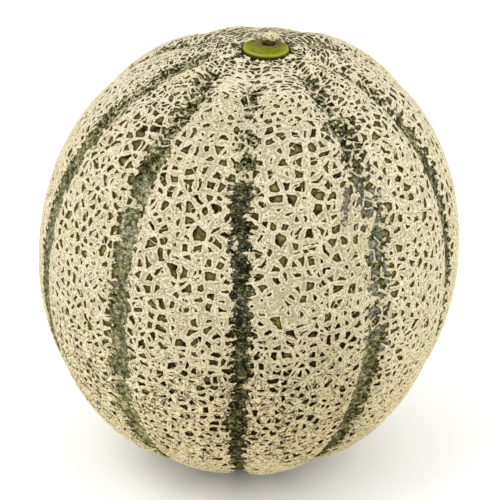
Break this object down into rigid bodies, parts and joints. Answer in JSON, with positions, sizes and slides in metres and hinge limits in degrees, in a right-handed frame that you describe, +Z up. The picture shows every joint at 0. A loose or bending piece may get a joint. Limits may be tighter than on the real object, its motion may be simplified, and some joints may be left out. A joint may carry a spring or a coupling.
{
  "type": "cantaloupe melon",
  "caption": "Whole ripe netted cantaloupe with grooved ribs, a green stem scar and a dry stub of stalk, standing on a small flat spot.",
  "frame": {"origin": "on the table under the middle of the melon's box, on the flat spot that it stands on", "axes": "+Z up towards the stem, -Y the side seen in front, +X to the right of that side"},
  "size_m": [0.1406, 0.1402, 0.155],
  "materials": {
    "netted_rind": "rough cream cork net over satin green skin",
    "green_scar": "satin",
    "dry_stalk": "dry, frayed"
  },
  "bodies": {
    "root": {"melon": "netted_rind", "stem_button": "green_scar", "stalk_stub": "dry_stalk"}
  },
  "joints": []
}
